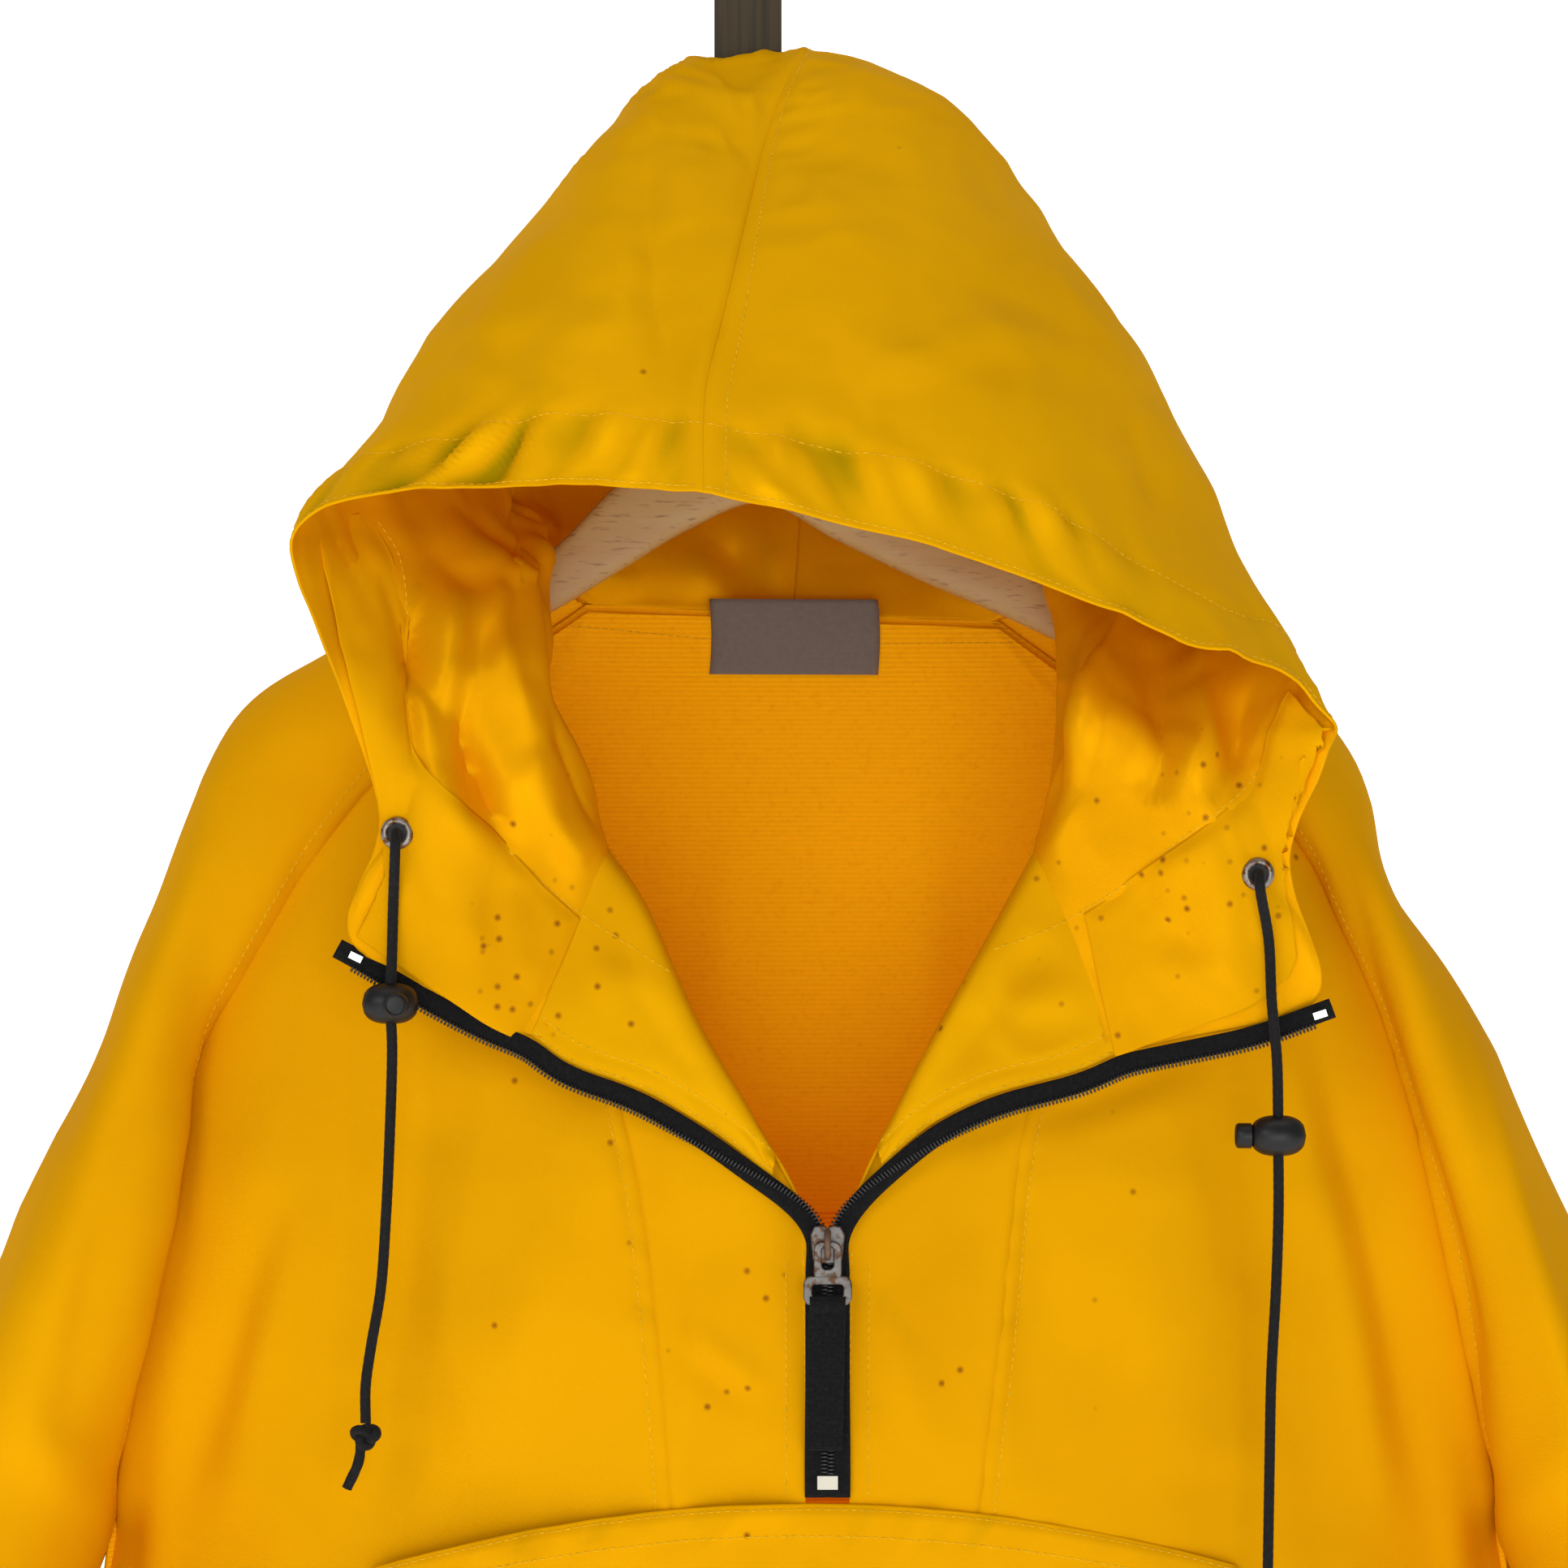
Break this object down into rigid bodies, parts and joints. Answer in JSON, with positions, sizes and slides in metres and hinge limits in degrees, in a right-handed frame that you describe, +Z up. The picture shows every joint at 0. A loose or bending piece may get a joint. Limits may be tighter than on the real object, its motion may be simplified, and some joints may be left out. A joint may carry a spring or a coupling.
{
  "type": "anorak pullover on a wooden hanger",
  "caption": "Hooded half-zip anorak pullover with raglan sleeves, kangaroo pouch and drawcords, hung open on a beech hanger under a flat bar.",
  "frame": {"origin": "level with the hanging bar's top end, in the middle of its width and in the plane of the hanger's hook", "axes": "+Z up, -Y out of the garment's front, +X to the right of someone who looks at the front"},
  "size_m": [0.9454, 0.2456, 0.9622],
  "materials": {
    "shell_cloth": "golden yellow close weave with a soft sheen",
    "hood_cloth": "golden yellow close weave, crumpled at the casing",
    "lining_knit": "brushed knit with fine ribs across",
    "label_weave": "plain woven label, blank",
    "zip_tape": "black woven tape with coil teeth",
    "gunmetal": "dark plating, worn and rusty at the bridge",
    "stop_silver": "bright crimped metal",
    "stop_cream": "cream plastic",
    "pull_webbing": "black webbing, blank",
    "eyelet_nickel": "dark nickel with rust",
    "cord_braid": "round black braid",
    "lock_plastic": "black moulded plastic, blank",
    "beech": "pale beech, matt lacquer",
    "hook_steel": "bright steel wire",
    "bar_metal": "dark grey-olive paint with fine lengthwise lines"
  },
  "bodies": {
    "garment": {"hood_left": "hood_cloth", "hood_right": "hood_cloth", "front_centre_left": "shell_cloth", "front_centre_right": "shell_cloth", "front_side_left": "shell_cloth", "front_side_right": "shell_cloth", "front_facing_left": "shell_cloth", "front_facing_right": "shell_cloth", "pouch_pocket": "shell_cloth", "back": "shell_cloth", "back_lining": "lining_knit", "sleeve_left": "shell_cloth", "sleeve_right": "shell_cloth", "neck_label": "label_weave", "zip_tape_left": "zip_tape", "zip_tape_right": "zip_tape", "zip_slider": "gunmetal", "zip_top_stop_left": "stop_silver", "zip_top_stop_right": "stop_silver", "zip_bottom_stop": "stop_cream", "eyelet_left": "eyelet_nickel", "eyelet_right": "eyelet_nickel", "drawcord_left": "cord_braid", "drawcord_right": "cord_braid", "cord_lock_left": "lock_plastic", "cord_lock_right": "lock_plastic", "lock_button_left": "lock_plastic", "lock_button_right": "lock_plastic", "knot_left": "cord_braid", "knot_right": "cord_braid", "hanger": "beech", "hanger_hook": "hook_steel", "hanging_bar": "bar_metal"},
    "puller": {"zip_puller": "gunmetal", "pull_webbing": "pull_webbing"}
  },
  "joints": [
    {"name": "pull_tab_hinge", "type": "hinge", "parent": "garment", "child": "puller", "pos_m": [0.028, -0.0946, -0.456], "axis": [-1, 0, 0], "range_deg": [0, 150]}
  ]
}
